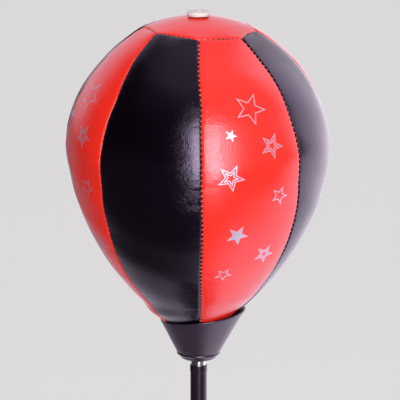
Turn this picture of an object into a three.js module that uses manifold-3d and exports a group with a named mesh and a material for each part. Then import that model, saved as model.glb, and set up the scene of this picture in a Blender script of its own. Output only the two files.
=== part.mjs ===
// A children's free-standing punch ball: a sewn leather ball in a plastic funnel, on a telescopic pole that
// stands on a coil spring in a sand-filled base.
// Sizes are millimetres, +Z is up, and the origin is on the floor under the middle of the pole.
import * as THREE from "three";
import { mergeVertices } from "three/addons/utils/BufferGeometryUtils.js";
import Module from "manifold-3d";

const wasm = await Module();
wasm.setup();

// ---- Clearances ----
const GAP = 0.3; // between pieces that nest in each other and stay still
const RUNNING = 0.25; // radial, between pieces that slide or turn in each other

// ---- Base ----
const BASE_R = 190;
const BASE_WALL = 3;
const BASE_BAND = 34; // height of the upright band round the edge
const BASE_EDGE = 9; // radius of the band's lower and upper edges
const STEP_W = 14; // the ledge inside the band's top
const STEP_DROP = 4;
const DOME_TOP = 84; // where the dome meets the central boss
const BOSS_R = 36;
const BOSS_TOP = 105;
const SOCKET_R = 14.5;
const SOCKET_DEPTH = 52;
const FOOT_COUNT = 6;
const FOOT_R = 12;
const FOOT_H = 3;
const FOOT_CIRCLE = 158;
const SAND_TOP = 30;

// ---- Filler port ----
const PORT_CIRCLE = 112; // the port's distance from the pole
const PORT_TURN = THREE.MathUtils.degToRad(38); // its bearing from +X
const PORT_R = 24;
const PORT_TOP = 84;
const PORT_BORE = 15;
const CAP_R = 22;
const CAP_H = 11;
const CAP_PLUG = 10; // how far the cap's plug reaches into the bore
const SEAL_H = 2;
const CAP_GRIPS = 10;

// ---- Lock ring and spring ----
const FLANGE_R = 33;
const FLANGE_H = 4;
const RING_R = 44;
const RING_SKIRT = 16; // how far the ring reaches down the boss
const RING_LIP = 5;
const RING_GRIPS = 12;
const RING_GRIP_R = 5;
const COLLAR_R = 15; // the plugs' shoulders that the spring's ends sit on
const COLLAR_H = 12;
const CORE_R = 10.4;
const CORE_L = 16;
const WIRE_R = 2;
const SPRING_L = 120;
const SPRING_TURNS = 12;
const SPRING_SLACK = 0.7; // the coil stands this far off the plugs' cores

// ---- Lower tube and height clamp ----
const TUBE_R = 11;
const TUBE_WALL = 1.2;
const TUBE_L = 320;
const SPIGOT_L = 30;
const CLAMP_R = 16.5;
const CLAMP_SKIRT = 25; // the clamp housing over the tube
const CLAMP_GUIDE = 28; // the clamp housing above the tube
const SCREW_R = 3;
const SCREW_BOSS_R = 9;
const SCREW_BOSS_REACH = 24;
const PAD_H = 2.2;
const KNOB_R = 15;
const KNOB_H = 14;
const KNOB_STANDOFF = 2;
const KNOB_LOBES = 6;
const FIX_R = 2; // the screw that holds the clamp housing to the tube
const FIX_HEAD_R = 3.8;
const FIX_HEAD_H = 2.2;

// ---- Upper tube ----
const INNER_R = 7.2;
const INNER_WALL = 1;
const SLEEVE_GAP = 0.2;
const SLEEVE_WALL = 0.5;
const DOWN_TRAVEL = 90;
const END_ROOM = 3; // what is left between stops when the pole is right down
const STOP_H = 18;
const STUD_R = 4;
const STUD_FLANGE = 2;
const STUD_PLUG = 25;
const STUD_L = 13;
const BARE_TUBE = 11.3; // bright tube left bare under the funnel's cone
const SLEEVE_RING = 6.8;
const SLEEVE_RING_STEP = 0.35;

// ---- Funnel ----
const FUNNEL_H = 41;
const FUNNEL_RIM_R = 42;
const FUNNEL_FOOT_R = 20.5;
const FUNNEL_WALL = 2.4;
const FUNNEL_ROUND = 5; // depth of the rounded bottom
const HUB_WALL = 4.6;
const HUB_H = 14;
const HUB_LEDGE = 3;

// ---- Ball ----
const PANELS = 8;
const SEAM_TURN = THREE.MathUtils.degToRad(2); // the front seam's bearing from -Y
const BALL_R = 127;
const BALL_EQUATOR = 165; // above the funnel's rim
const CAP_CORNER_R = 52.5; // the eight-sided top panel's corners
const CAP_CORNER_Z = 114; // above the equator
const CAP_DOME = 9;
const SHOULDER_SLOPE = THREE.MathUtils.degToRad(32); // of the surface at the top panel's corners
const SHOULDER_PULL = 52; // a pull is how far a curve's end is drawn along its tangent
const WAIST_PULL = 45;
const FLANK_PULL = 85;
const FLANK_SLOPE = THREE.MathUtils.degToRad(47); // from upright, where the ball leaves the funnel
const NECK_SLOPE = THREE.MathUtils.degToRad(40); // from upright, inside the funnel
const PILLOW = 0.02; // share of the radius that the seams are pulled in by
const COVER = 1.5;
const BLADDER_WALL = 1.2;
const BLADDER_SLACK = 1.4; // keeps the bag's flat facets clear of the cover's
const BALL_FLANGE_H = 10;
const BALL_FLANGE_EDGE = 2;
const NUT_R = 7.2;
const NUT_H = 6.5;
const VALVE_R = 11.3;
const VALVE_H = 4;
const VALVE_STEM_R = 4.4;
const VALVE_INNER_R = 9;
const VALVE_INNER_H = 1.5;
const NEEDLE_R = 0.8;

// ---- Finishes ----
const finish = (color, roughness, metalness = 0) =>
  new THREE.MeshStandardMaterial({ color, roughness, metalness });
const BLACK_PLASTIC = finish(0x1b1920, 0.5);
const BLACK_PAINT = finish(0x17151b, 0.35);
const BLACK_LEATHER = finish(0x121017, 0.3);
const RED_LEATHER = finish(0xf0281e, 0.3);
const BRIGHT_STEEL = finish(0xc8cad0, 0.2, 1);
const BRASS = finish(0xb8964a, 0.35, 1);
const RUBBER = finish(0x222222, 0.8);
const BLADDER_RUBBER = finish(0x2b2b2e, 0.7);
const WHITE_RUBBER = finish(0xece6e4, 0.5);
const SAND = finish(0xc9b48a, 0.95);

// ---- Solids ----
const FINE = 40; // sides of the large round pieces
const ROUND = 16; // sides of the small ones

const solid = (geometry) => {
  const bare = geometry.clone();
  bare.deleteAttribute("normal");
  bare.deleteAttribute("uv");
  const merged = mergeVertices(bare, 1e-4);
  return new wasm.Manifold(
    new wasm.Mesh({
      numProp: 3,
      vertProperties: merged.attributes.position.array,
      triVerts: new Uint32Array(merged.index.array),
    }),
  );
};

const geometryOf = (made) => {
  const { vertProperties, triVerts } = made.getMesh();
  return new THREE.BufferGeometry()
    .setAttribute("position", new THREE.BufferAttribute(vertProperties, 3))
    .setIndex(new THREE.BufferAttribute(triVerts, 1));
};

// A profile of [radius, height] pairs or points, listed from the bottom outwards and up, turned round Z.
const turned = (profile, sides = ROUND) => {
  const points = profile.map((p) => (p.isVector2 ? p : new THREE.Vector2(...p)));
  return new THREE.LatheGeometry(points, sides).rotateX(Math.PI / 2);
};

// The same for a ring, whose profile closes on itself.
const ring = (profile, sides) => turned([...profile, profile[0]], sides);

const tube = (inner, outer, bottom, top, sides) =>
  ring([[inner, bottom], [outer, bottom], [outer, top], [inner, top]], sides);

const rod = (radius, bottom, top, sides) =>
  turned([[0, bottom], [radius, bottom], [radius, top], [0, top]], sides);

// Lays a piece that was made along Z down along +X, at a height.
const alongX = (geometry, height) => geometry.rotateY(Math.PI / 2).translate(0, 0, height);

const prism = (shape, bottom, height) =>
  new THREE.ExtrudeGeometry(shape, { depth: height, bevelEnabled: false }).translate(0, 0, bottom);

const group = new THREE.Group();
const add = (name, geometry, material) => {
  const mesh = new THREE.Mesh(geometry, material);
  mesh.name = name;
  group.add(mesh);
};

// ---- Base: one hollow blow-moulded shell with a blind socket for the pole ----
const BASE_FLOOR = FOOT_H;

// The shell's outline, drawn in from the outside by an inset.
const baseProfile = (inset) => {
  const outline = new THREE.Path();
  const rim = BASE_R - inset;
  const bottom = BASE_FLOOR + inset;
  const band = BASE_FLOOR + BASE_BAND - inset;
  const edge = BASE_EDGE - inset;
  const ledge = rim - STEP_W + inset;
  outline.moveTo(0, bottom);
  outline.lineTo(rim - edge, bottom);
  outline.quadraticCurveTo(rim, bottom, rim, bottom + edge);
  outline.lineTo(rim, band - edge);
  outline.quadraticCurveTo(rim, band, rim - edge, band);
  outline.lineTo(ledge, band - STEP_DROP);
  outline.bezierCurveTo(
    ledge - 0.35 * BASE_R, band + 0.42 * (DOME_TOP - BASE_BAND),
    BOSS_R + 0.25 * BASE_R, DOME_TOP - inset,
    BOSS_R - inset, DOME_TOP - inset,
  );
  outline.lineTo(BOSS_R - inset, BOSS_TOP - inset);
  outline.lineTo(0, BOSS_TOP - inset);
  return outline.getPoints(4);
};

const portAt = (geometry) =>
  geometry.translate(PORT_CIRCLE * Math.cos(PORT_TURN), PORT_CIRCLE * Math.sin(PORT_TURN), 0);

const socketFloor = BOSS_TOP - SOCKET_DEPTH;
const column = solid(rod(SOCKET_R + BASE_WALL, 0, BOSS_TOP));
const cavity = solid(turned(baseProfile(BASE_WALL), FINE)).subtract(column);
const socket = solid(rod(SOCKET_R, socketFloor, BOSS_TOP + 1));
const portTube = solid(portAt(rod(PORT_R, BASE_FLOOR + BASE_BAND, PORT_TOP)));
const portBore = solid(portAt(rod(PORT_BORE, BASE_FLOOR + BASE_BAND, PORT_TOP + 1)));
const shell = solid(turned(baseProfile(0), FINE))
  .add(portTube)
  .subtract(cavity)
  .subtract(portBore)
  .subtract(socket);
add("base_shell", geometryOf(shell), BLACK_PLASTIC);

const sandColumn = solid(rod(SOCKET_R + BASE_WALL + GAP, 0, BOSS_TOP));
const sandLevel = solid(rod(BASE_R, 0, SAND_TOP, FINE));
const sand = solid(turned(baseProfile(BASE_WALL + GAP), FINE)).intersect(sandLevel).subtract(sandColumn);
add("sand_ballast", geometryOf(sand), SAND);

for (let i = 0; i < FOOT_COUNT; i++) {
  const turn = (i * 2 * Math.PI) / FOOT_COUNT;
  const pad = rod(FOOT_R, 0, FOOT_H).translate(FOOT_CIRCLE, 0, 0).rotateZ(turn);
  add(`foot_pad_${i + 1}`, pad, RUBBER);
}

// ---- Filler cap: a plug with a gripped rim, on a flat rubber seal ----
const capFloor = PORT_TOP + SEAL_H;
add("filler_seal", portAt(tube(PORT_BORE, CAP_R - 3, PORT_TOP, capFloor)), RUBBER);

// Cuts finger grips round a piece that stands on the Z axis.
const gripped = (made, count, radius, gripRadius, bottom, top) => {
  let cut = made;
  for (let i = 0; i < count; i++) {
    const grip = rod(gripRadius, bottom, top, ROUND / 2).translate(radius + 0.6 * gripRadius, 0, 0);
    cut = cut.subtract(solid(grip.rotateZ((i * 2 * Math.PI) / count)));
  }
  return cut;
};

const capPlugR = PORT_BORE - RUNNING;
const capBody = solid(
  turned([
    [0, PORT_TOP - CAP_PLUG],
    [capPlugR, PORT_TOP - CAP_PLUG],
    [capPlugR, capFloor],
    [CAP_R, capFloor],
    [CAP_R, capFloor + CAP_H],
    [0, capFloor + CAP_H],
  ]),
);
const capTop = capFloor + CAP_H + 1;
const cap = gripped(capBody, CAP_GRIPS, CAP_R, 3, capFloor - 1, capTop);
add("filler_cap", portAt(geometryOf(cap)), BLACK_PLASTIC);

// ---- Lower spring plug, held down on the boss by the lock ring ----
const flangeTop = BOSS_TOP + FLANGE_H;
const springBottom = flangeTop + COLLAR_H;
add(
  "spring_lower_plug",
  turned([
    [0, socketFloor + 2],
    [SOCKET_R - GAP, socketFloor + 2],
    [SOCKET_R - GAP, BOSS_TOP],
    [FLANGE_R, BOSS_TOP],
    [FLANGE_R, flangeTop],
    [COLLAR_R, flangeTop],
    [COLLAR_R, springBottom],
    [CORE_R, springBottom],
    [CORE_R, springBottom + CORE_L],
    [0, springBottom + CORE_L],
  ]),
  BRIGHT_STEEL,
);

const lipBottom = flangeTop + GAP;
const ringBody = solid(
  ring([
    [BOSS_R + RUNNING, BOSS_TOP - RING_SKIRT],
    [RING_R, BOSS_TOP - RING_SKIRT],
    [RING_R, lipBottom + RING_LIP - 2],
    [RING_R - 3, lipBottom + RING_LIP],
    [COLLAR_R + 1, lipBottom + RING_LIP],
    [COLLAR_R + 1, lipBottom],
    [BOSS_R + RUNNING, lipBottom],
  ], FINE),
);
const lockRing = gripped(ringBody, RING_GRIPS, RING_R, RING_GRIP_R, 0, lipBottom + RING_LIP + 1);
add("lock_ring", geometryOf(lockRing), BLACK_PLASTIC);

// ---- Coil spring, with its end coils round the plugs' cores ----
class Helix extends THREE.Curve {
  constructor(radius, bottom, top, turns) {
    super();
    Object.assign(this, { radius, bottom, top, turns });
  }
  getPoint(t, target = new THREE.Vector3()) {
    const angle = t * this.turns * 2 * Math.PI;
    const z = THREE.MathUtils.lerp(this.bottom, this.top, t);
    return target.set(this.radius * Math.cos(angle), this.radius * Math.sin(angle), z);
  }
}

const springTop = springBottom + SPRING_L;
const helix = new Helix(
  CORE_R + SPRING_SLACK + WIRE_R,
  springBottom + WIRE_R + GAP,
  springTop - WIRE_R - GAP,
  SPRING_TURNS,
);
const wire = new THREE.Shape().absarc(0, 0, WIRE_R, 0, 2 * Math.PI);
add(
  "coil_spring",
  new THREE.ExtrudeGeometry(wire, { extrudePath: helix, steps: SPRING_TURNS * 12, curveSegments: 3 }),
  BRIGHT_STEEL,
);

// ---- Upper spring plug and the lower tube that stands on it ----
const tubeBottom = springTop + COLLAR_H;
const tubeBore = TUBE_R - TUBE_WALL;
add(
  "spring_upper_plug",
  turned([
    [0, springTop - CORE_L],
    [CORE_R, springTop - CORE_L],
    [CORE_R, springTop],
    [COLLAR_R, springTop],
    [COLLAR_R, tubeBottom],
    [tubeBore - GAP, tubeBottom],
    [tubeBore - GAP, tubeBottom + SPIGOT_L],
    [0, tubeBottom + SPIGOT_L],
  ]),
  BRIGHT_STEEL,
);

const tubeTop = tubeBottom + TUBE_L;
const fixHeight = tubeTop - CLAMP_SKIRT / 2;
const fixHole = solid(alongX(rod(FIX_R + RUNNING, -CLAMP_R - 1, -tubeBore + 1, ROUND / 2), fixHeight));
const lowerTube = solid(tube(tubeBore, TUBE_R, tubeBottom, tubeTop)).subtract(fixHole);
add("lower_tube", geometryOf(lowerTube), BLACK_PAINT);

// ---- Height clamp: a housing on the lower tube, and a knob whose screw presses a pad on the upper one ----
const sleeveR = INNER_R + SLEEVE_GAP + SLEEVE_WALL;
const clampTop = tubeTop + CLAMP_GUIDE;
const screwHeight = tubeTop + CLAMP_GUIDE / 2;
const screwHole = solid(alongX(rod(SCREW_R + RUNNING, 0, SCREW_BOSS_REACH + 1), screwHeight));
const guideBore = solid(rod(sleeveR + RUNNING, tubeTop - 1, clampTop + 1));
const tubeSeat = solid(rod(TUBE_R + GAP, tubeTop - CLAMP_SKIRT - 1, tubeTop));
const clampBody = solid(
  turned([
    [0, tubeTop - CLAMP_SKIRT],
    [CLAMP_R - 1.5, tubeTop - CLAMP_SKIRT],
    [CLAMP_R, tubeTop - CLAMP_SKIRT + 1.5],
    [CLAMP_R, clampTop - 3],
    [CLAMP_R - 3, clampTop],
    [0, clampTop],
  ]),
);
const clampHousing = clampBody
  .add(solid(alongX(rod(SCREW_BOSS_R, 0, SCREW_BOSS_REACH), screwHeight)))
  .subtract(guideBore)
  .subtract(tubeSeat)
  .subtract(screwHole)
  .subtract(fixHole);
add("clamp_housing", geometryOf(clampHousing), BLACK_PLASTIC);

add(
  "clamp_fixing_screw",
  alongX(
    turned([
      [0, -CLAMP_R - FIX_HEAD_H],
      [FIX_HEAD_R, -CLAMP_R - FIX_HEAD_H],
      [FIX_HEAD_R, -CLAMP_R],
      [FIX_R, -CLAMP_R],
      [FIX_R, -tubeBore],
      [0, -tubeBore],
    ], ROUND / 2),
    fixHeight,
  ),
  BRIGHT_STEEL,
);

const padStart = sleeveR + GAP;
const screwStart = padStart + PAD_H + GAP;
const knobStart = SCREW_BOSS_REACH + KNOB_STANDOFF;
const screwEnd = knobStart + KNOB_H - 4;
add("clamp_pad", alongX(rod(SCREW_R, padStart, padStart + PAD_H), screwHeight), BRASS);
add("knob_screw", alongX(rod(SCREW_R, screwStart, screwEnd), screwHeight), BRIGHT_STEEL);

// A knob outline with round lobes: the radius swings in and out once for each lobe.
const lobed = (radius, lobes, depth) => {
  const outline = [];
  const steps = lobes * 6;
  for (let i = 0; i < steps; i++) {
    const angle = (i * 2 * Math.PI) / steps;
    const r = radius - (depth * (1 - Math.cos(lobes * angle))) / 2;
    outline.push(new THREE.Vector2(r * Math.cos(angle), r * Math.sin(angle)));
  }
  return new THREE.Shape(outline);
};
const knobBore = solid(rod(SCREW_R + SLEEVE_GAP, knobStart - 1, screwEnd + GAP));
const knob = solid(prism(lobed(KNOB_R, KNOB_LOBES, 3.5), knobStart, KNOB_H)).subtract(knobBore);
add("height_knob", alongX(geometryOf(knob), screwHeight), BLACK_PLASTIC);

// ---- Upper tube with its black sleeve, the stop on its lower end and the stud in its top ----
const innerBore = INNER_R - INNER_WALL;
const sleeveTop = clampTop + DOWN_TRAVEL + END_ROOM;
const funnelBottom = sleeveTop + SLEEVE_RING + BARE_TUBE;
const innerTop = funnelBottom + HUB_H - HUB_LEDGE - STUD_FLANGE;
const stopBottom = tubeBottom + SPIGOT_L + DOWN_TRAVEL + END_ROOM;
const innerBottom = stopBottom + STOP_H;
add("upper_tube", tube(innerBore, INNER_R, innerBottom, innerTop), BRIGHT_STEEL);
add("upper_sleeve", tube(INNER_R + SLEEVE_GAP, sleeveR, innerBottom, sleeveTop), BLACK_PAINT);
add(
  "sleeve_ring",
  tube(INNER_R + SLEEVE_GAP, sleeveR + SLEEVE_RING_STEP, sleeveTop, sleeveTop + SLEEVE_RING),
  BLACK_PLASTIC,
);
add(
  "tube_stop",
  turned([
    [0, stopBottom],
    [tubeBore - GAP, stopBottom],
    [tubeBore - GAP, innerBottom],
    [innerBore - RUNNING, innerBottom],
    [innerBore - RUNNING, innerBottom + STOP_H],
    [0, innerBottom + STOP_H],
  ]),
  BLACK_PLASTIC,
);
const studFoot = innerTop + STUD_FLANGE;
add(
  "tube_stud",
  turned([
    [0, innerTop - STUD_PLUG],
    [innerBore - RUNNING, innerTop - STUD_PLUG],
    [innerBore - RUNNING, innerTop],
    [INNER_R, innerTop],
    [INNER_R, studFoot],
    [STUD_R, studFoot],
    [STUD_R, studFoot + STUD_L],
    [0, studFoot + STUD_L],
  ]),
  BRIGHT_STEEL,
);

// ---- Funnel: a thin cone with a rounded bottom and a hub that drops over the tube ----
const rimHeight = funnelBottom + FUNNEL_H;
const hubBore = INNER_R + GAP;
const hubR = hubBore + HUB_WALL;
const hubTop = funnelBottom + HUB_H;
const funnelOutline = new THREE.Path();
funnelOutline.moveTo(hubBore, funnelBottom - FUNNEL_ROUND);
funnelOutline.lineTo(hubR - 1, funnelBottom - FUNNEL_ROUND);
funnelOutline.quadraticCurveTo(
  FUNNEL_FOOT_R - 1, funnelBottom - FUNNEL_ROUND + 0.5,
  FUNNEL_FOOT_R, funnelBottom,
);
funnelOutline.lineTo(FUNNEL_RIM_R, rimHeight);
funnelOutline.lineTo(FUNNEL_RIM_R - FUNNEL_WALL, rimHeight);
funnelOutline.lineTo(FUNNEL_FOOT_R - FUNNEL_WALL, funnelBottom + 1);
funnelOutline.lineTo(hubR, funnelBottom + 1);
funnelOutline.lineTo(hubR, hubTop);
funnelOutline.lineTo(STUD_R + RUNNING, hubTop);
funnelOutline.lineTo(STUD_R + RUNNING, hubTop - HUB_LEDGE);
funnelOutline.lineTo(hubBore, hubTop - HUB_LEDGE);
add("funnel", ring(funnelOutline.getPoints(4), FINE), BLACK_PLASTIC);

// ---- Ball: its meridian from the neck in the funnel to the middle of the top panel ----
const equator = rimHeight + BALL_EQUATOR;
const capCorner = new THREE.Vector2(CAP_CORNER_R, equator + CAP_CORNER_Z);
const waist = new THREE.Vector2(BALL_R, equator);
const neckTop = new THREE.Vector2(FUNNEL_RIM_R - FUNNEL_WALL - 2 * GAP, rimHeight);
const neckThickness = COVER / Math.cos(NECK_SLOPE);
const neckR = (hubR + GAP) / (1 - PILLOW) + neckThickness;
const neckEnd = new THREE.Vector2(neckR, rimHeight - (neckTop.x - neckR) / Math.tan(NECK_SLOPE));

const valveHoleR = VALVE_STEM_R + GAP;
const pulled = (point, length, across, up) =>
  new THREE.Vector2(across, up).multiplyScalar(length).add(point);
const flankHandle = pulled(neckTop, FLANK_PULL, Math.sin(FLANK_SLOPE), Math.cos(FLANK_SLOPE));
const waistBelow = pulled(waist, WAIST_PULL, 0, -1);
const waistAbove = pulled(waist, SHOULDER_PULL, 0, 1);
const shoulderHandle = pulled(capCorner, SHOULDER_PULL, Math.cos(SHOULDER_SLOPE), -Math.sin(SHOULDER_SLOPE));
const bezier = (path, from, to, end) => path.bezierCurveTo(from.x, from.y, to.x, to.y, end.x, end.y);

const meridian = new THREE.Path();
meridian.moveTo(neckEnd.x, neckEnd.y);
meridian.lineTo(neckTop.x, neckTop.y);
bezier(meridian, flankHandle, waistBelow, waist);
bezier(meridian, waistAbove, shoulderHandle, capCorner);
// The top panel is a shallow parabola; its control point is where its edge tangent meets the top.
meridian.quadraticCurveTo(
  capCorner.x / 2, capCorner.y + CAP_DOME,
  valveHoleR, capCorner.y + CAP_DOME,
);
const ballTop = capCorner.y + CAP_DOME;

// A profile moved inwards, square to itself, by a distance, but no nearer the axis than the valve's hole.
const inwards = (points, distance) =>
  points.map((p, i) => {
    const before = points[Math.max(i - 1, 0)];
    const after = points[Math.min(i + 1, points.length - 1)];
    const along = after.clone().sub(before).normalize();
    return new THREE.Vector2(Math.max(p.x - along.y * distance, valveHoleR), p.y + along.x * distance);
  });

// Draws the surface in towards each seam, so that every panel bulges between its two seams.
const seamTurn = (i) => SEAM_TURN - Math.PI / 2 + (i * 2 * Math.PI) / PANELS;
const pillowed = (geometry) => {
  const position = geometry.attributes.position;
  for (let i = 0; i < position.count; i++) {
    const x = position.getX(i);
    const y = position.getY(i);
    const turns = ((Math.atan2(y, x) - seamTurn(0)) * PANELS) / (2 * Math.PI);
    const fromMiddle = 2 * Math.abs(turns - Math.floor(turns) - 0.5);
    const share = 1 - PILLOW * fromMiddle ** 3;
    position.setXY(i, x * share, y * share);
  }
  return geometry;
};

const outside = meridian.getPoints(5);
const inside = inwards(outside, COVER);
const cover = solid(pillowed(ring([...outside, ...inside.reverse()], FINE).rotateZ(seamTurn(0))));

const octagon = (radius) => {
  const corners = [];
  for (let i = 0; i < PANELS; i++) {
    corners.push(new THREE.Vector2(radius * Math.cos(seamTurn(i)), radius * Math.sin(seamTurn(i))));
  }
  return solid(prism(new THREE.Shape(corners), equator, 2 * CAP_CORNER_Z));
};
const cornerR = CAP_CORNER_R * (1 - PILLOW);
const topPanel = cover.intersect(octagon(cornerR - GAP));
add("top_panel", geometryOf(topPanel), RED_LEATHER);

const sides = cover.subtract(octagon(cornerR));
for (let i = 0; i < PANELS; i++) {
  const reach = 2 * BALL_R;
  const middle = (seamTurn(i) + seamTurn(i + 1)) / 2;
  const halfGap = GAP / 2 / Math.sin(Math.PI / PANELS);
  const wedge = new THREE.Shape([
    new THREE.Vector2(0, 0),
    new THREE.Vector2(reach * Math.cos(seamTurn(i)), reach * Math.sin(seamTurn(i))),
    new THREE.Vector2(reach * Math.cos(seamTurn(i + 1)), reach * Math.sin(seamTurn(i + 1))),
  ]);
  const cutter = prism(wedge, 0, 2 * ballTop);
  cutter.translate(halfGap * Math.cos(middle), halfGap * Math.sin(middle), 0);
  const red = i % 2 === 0;
  const name = `panel_${red ? "red" : "black"}_${Math.floor(i / 2) + 1}`;
  add(name, geometryOf(sides.intersect(solid(cutter))), red ? RED_LEATHER : BLACK_LEATHER);
}

// ---- Ball flange and nut: they clamp the cover's neck and screw onto the tube's stud ----
const flangeBase = hubTop;
const flangeCrown = flangeBase + BALL_FLANGE_H;
const nutSeat = flangeCrown - NUT_H - GAP;
// The flange's cone fits inside the cover's neck where the seams draw it in.
const flangeRAt = (height) => {
  const coverBore = neckR - neckThickness + (height - neckEnd.y) * Math.tan(NECK_SLOPE);
  return coverBore * (1 - PILLOW) - GAP;
};
const hexagon = (radius) => {
  const corners = [];
  for (let i = 0; i < 6; i++) {
    const angle = (i * Math.PI) / 3;
    corners.push(new THREE.Vector2(radius * Math.cos(angle), radius * Math.sin(angle)));
  }
  return new THREE.Shape(corners);
};
const flangeBody = solid(
  turned([
    [0, flangeBase],
    [flangeRAt(flangeBase), flangeBase],
    [flangeRAt(flangeCrown - BALL_FLANGE_EDGE), flangeCrown - BALL_FLANGE_EDGE],
    [flangeRAt(flangeCrown - BALL_FLANGE_EDGE), flangeCrown],
    [0, flangeCrown],
  ]),
);
const studHole = solid(rod(STUD_R + RUNNING, flangeBase - 1, flangeCrown + 1));
const nutPocket = solid(prism(hexagon(NUT_R + GAP), nutSeat, NUT_H + 1));
add("ball_flange", geometryOf(flangeBody.subtract(studHole).subtract(nutPocket)), BLACK_PLASTIC);
const nut = solid(prism(hexagon(NUT_R), nutSeat, NUT_H)).subtract(studHole);
add("ball_nut", geometryOf(nut), BRASS);

// ---- Bladder: the rubber bag inside the cover, resting on the flange ----
const bladderFloor = flangeCrown + GAP;
const bag = (depth, floor) => {
  const wall = inwards(meridian.getPoints(4), depth).filter((p) => p.y > floor + 2);
  const foot = wall[0].clone().setY(floor);
  foot.x -= (wall[0].y - floor) * Math.tan(NECK_SLOPE);
  return [foot, ...wall];
};
const bagDepth = COVER + BLADDER_SLACK;
const bagOutside = bag(bagDepth, bladderFloor);
const bagInside = bag(bagDepth + BLADDER_WALL, bladderFloor + BLADDER_WALL);
const bladderProfile = [
  new THREE.Vector2(0, bladderFloor),
  ...bagOutside,
  ...bagInside.reverse(),
  new THREE.Vector2(0, bladderFloor + BLADDER_WALL),
];
add("bladder", pillowed(turned(bladderProfile, ROUND).rotateZ(seamTurn(0))), BLADDER_RUBBER);

// ---- Valve: a white rubber button whose stem runs through the top panel into the bladder ----
const bladderCeiling = ballTop - bagDepth - BLADDER_WALL;
add(
  "bladder_valve",
  ring([
    [NEEDLE_R, bladderCeiling - VALVE_INNER_H - GAP],
    [VALVE_INNER_R, bladderCeiling - VALVE_INNER_H - GAP],
    [VALVE_INNER_R, bladderCeiling - GAP],
    [VALVE_STEM_R, bladderCeiling - GAP],
    [VALVE_STEM_R, ballTop + GAP],
    [VALVE_R, ballTop + GAP],
    [VALVE_R, ballTop + VALVE_H - 1],
    [VALVE_R - 1.5, ballTop + VALVE_H],
    [NEEDLE_R, ballTop + VALVE_H],
  ]),
  WHITE_RUBBER,
);

export default group;
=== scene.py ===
"""A children's free-standing punch ball, put together from the floor up and finished for rendering."""
import math
import bpy
import numpy as np
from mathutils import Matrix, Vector


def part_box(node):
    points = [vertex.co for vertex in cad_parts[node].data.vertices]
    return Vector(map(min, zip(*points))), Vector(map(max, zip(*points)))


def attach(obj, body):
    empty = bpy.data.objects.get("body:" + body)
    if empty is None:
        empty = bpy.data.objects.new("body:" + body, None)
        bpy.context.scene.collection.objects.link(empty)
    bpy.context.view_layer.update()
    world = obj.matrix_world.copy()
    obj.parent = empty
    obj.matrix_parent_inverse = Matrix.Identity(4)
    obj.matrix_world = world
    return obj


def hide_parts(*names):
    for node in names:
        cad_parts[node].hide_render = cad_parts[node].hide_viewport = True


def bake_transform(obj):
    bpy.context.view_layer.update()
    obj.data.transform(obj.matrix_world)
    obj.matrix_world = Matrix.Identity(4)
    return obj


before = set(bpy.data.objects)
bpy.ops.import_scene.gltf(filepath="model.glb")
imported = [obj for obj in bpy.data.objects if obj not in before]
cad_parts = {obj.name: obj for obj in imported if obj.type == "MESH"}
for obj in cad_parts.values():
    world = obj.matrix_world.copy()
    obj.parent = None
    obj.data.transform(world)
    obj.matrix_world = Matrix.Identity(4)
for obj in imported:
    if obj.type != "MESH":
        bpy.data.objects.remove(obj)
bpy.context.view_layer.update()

# ---- Foot pads ----
# Six discs of black rubber under the base. Each is moulded with a ring of small treads on its underside
# and is glued to a flat of the base shell.
class Wire:
    """One output of a node. Arithmetic on it adds Math nodes."""

    def __init__(self, graph, socket):
        self.graph = graph
        self.socket = socket

    def math(self, operation, *others):
        return self.graph.node("ShaderNodeMath", {"operation": operation}, dict(enumerate((self, *others))))

    def __add__(self, other):
        return self.math("ADD", other)

    def __sub__(self, other):
        return self.math("SUBTRACT", other)

    def __rsub__(self, other):
        return (self * -1) + other

    def __mul__(self, other):
        return self.math("MULTIPLY", other)

    def __abs__(self):
        return self.math("ABSOLUTE")

    __radd__ = __add__
    __rmul__ = __mul__


class Graph:
    """A node tree, of a material, of the studio's world or of a shape."""

    def __init__(self, tree):
        self.tree = tree

    def node(self, kind, settings, inputs, output=0):
        added = self.tree.nodes.new(kind)
        for name, value in settings.items():
            setattr(added, name, value)
        for name, value in inputs.items():
            self.feed(added.inputs[name], value)
        return Wire(self, added.outputs[output])

    def feed(self, socket, value):
        if isinstance(value, Wire):
            self.tree.links.new(value.socket, socket)
        else:
            socket.default_value = value

    def triple(self, x, y, z):
        return self.node("ShaderNodeCombineXYZ", {}, {0: x, 1: y, 2: z})


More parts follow.
